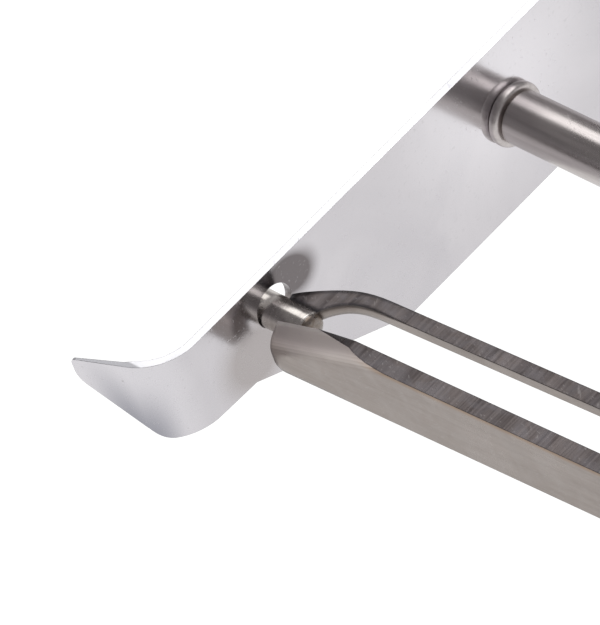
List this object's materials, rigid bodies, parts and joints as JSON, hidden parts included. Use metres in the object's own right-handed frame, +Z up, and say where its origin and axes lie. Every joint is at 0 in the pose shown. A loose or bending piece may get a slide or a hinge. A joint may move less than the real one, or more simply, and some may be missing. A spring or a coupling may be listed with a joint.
{
  "type": "lip grip",
  "caption": "Squeeze-handled fish lip grip with a curled palm plate, side rails, a sliding trigger bar and two ring-shaped jaws that open sideways.",
  "frame": {"origin": "centre of the tool's bounding box in X and Y, on the surface that it lies on", "axes": "+X along the shaft towards the jaws, +Y to the tool's left across the palm plate, +Z up"},
  "size_m": [0.2106, 0.1086, 0.023],
  "materials": {
    "plate_polish": "mirror-polished stainless sheet with faint wiping scratches",
    "shaft_chrome": "bright drawn and polished stainless rod",
    "rail_steel": "satin flat bar with cross-brushed edges",
    "pin_steel": "ground stainless pin stock",
    "sheet_steel": "satin stainless sheet",
    "head_alloy": "bead-blasted machined alloy",
    "fastener_steel": "plain stainless fastener",
    "jaw_steel": "polished stainless plate with rounded edges",
    "bearing_bronze": "sintered bronze",
    "pad_rubber": "moulded rubber with fine texture",
    "spring_steel": "cold-drawn spring wire"
  },
  "bodies": {
    "frame": {"palm_plate": "plate_polish", "shaft": "shaft_chrome", "shaft_washer": "shaft_chrome", "shaft_nut": "shaft_chrome", "shaft_clip": "fastener_steel", "spring_washer": "fastener_steel", "outer_rail_left": "rail_steel", "outer_rail_right": "rail_steel", "guide_bar_left": "rail_steel", "guide_bar_right": "rail_steel", "rail_pin_left": "pin_steel", "rail_pin_right": "pin_steel", "frame_head": "head_alloy", "rail_screws": "fastener_steel", "cheek_screws": "fastener_steel", "cheek_top": "sheet_steel", "cheek_bottom": "sheet_steel", "pivot_pin_left": "pin_steel", "pivot_pin_right": "pin_steel", "pivot_spacers": "pin_steel", "return_spring": "spring_steel"},
    "trigger": {"trigger_bar": "head_alloy", "trigger_bushing": "bearing_bronze", "finger_pad_left": "pad_rubber", "finger_pad_right": "pad_rubber", "pull_rod_top": "pin_steel", "pull_rod_bottom": "pin_steel", "rod_nuts": "fastener_steel", "drive_yoke": "head_alloy", "yoke_dowels": "pin_steel", "drive_plate_top": "sheet_steel", "drive_plate_bottom": "sheet_steel", "drive_pin_left": "pin_steel", "drive_pin_right": "pin_steel"},
    "left_jaw": {"jaw_left": "jaw_steel", "jaw_bush_left": "bearing_bronze", "jaw_pad_left": "jaw_steel"},
    "right_jaw": {"jaw_right": "jaw_steel", "jaw_bush_right": "bearing_bronze", "jaw_pad_right": "jaw_steel"}
  },
  "joints": [
    {"name": "trigger_slide", "type": "slide", "parent": "frame", "child": "trigger", "axis": [-1, 0, 0], "range_m": [0, 0.009], "stiffness_N_per_m": 600, "springref_m": -0.012, "deforming": ["return_spring"]},
    {"name": "left_jaw_swing", "type": "hinge", "parent": "frame", "child": "left_jaw", "pos_m": [0.05325, 0.005, 0.0115], "axis": [0, 0, 1], "range_deg": [0, 48.51]},
    {"name": "right_jaw_swing", "type": "hinge", "parent": "frame", "child": "right_jaw", "pos_m": [0.05325, -0.005, 0.0115], "axis": [0, 0, -1], "range_deg": [0, 48.51]}
  ],
  "couplings": [
    {"joint": "left_jaw_swing", "follows": "trigger_slide", "rad_per_m": 93.968},
    {"joint": "right_jaw_swing", "follows": "trigger_slide", "rad_per_m": 93.968}
  ]
}
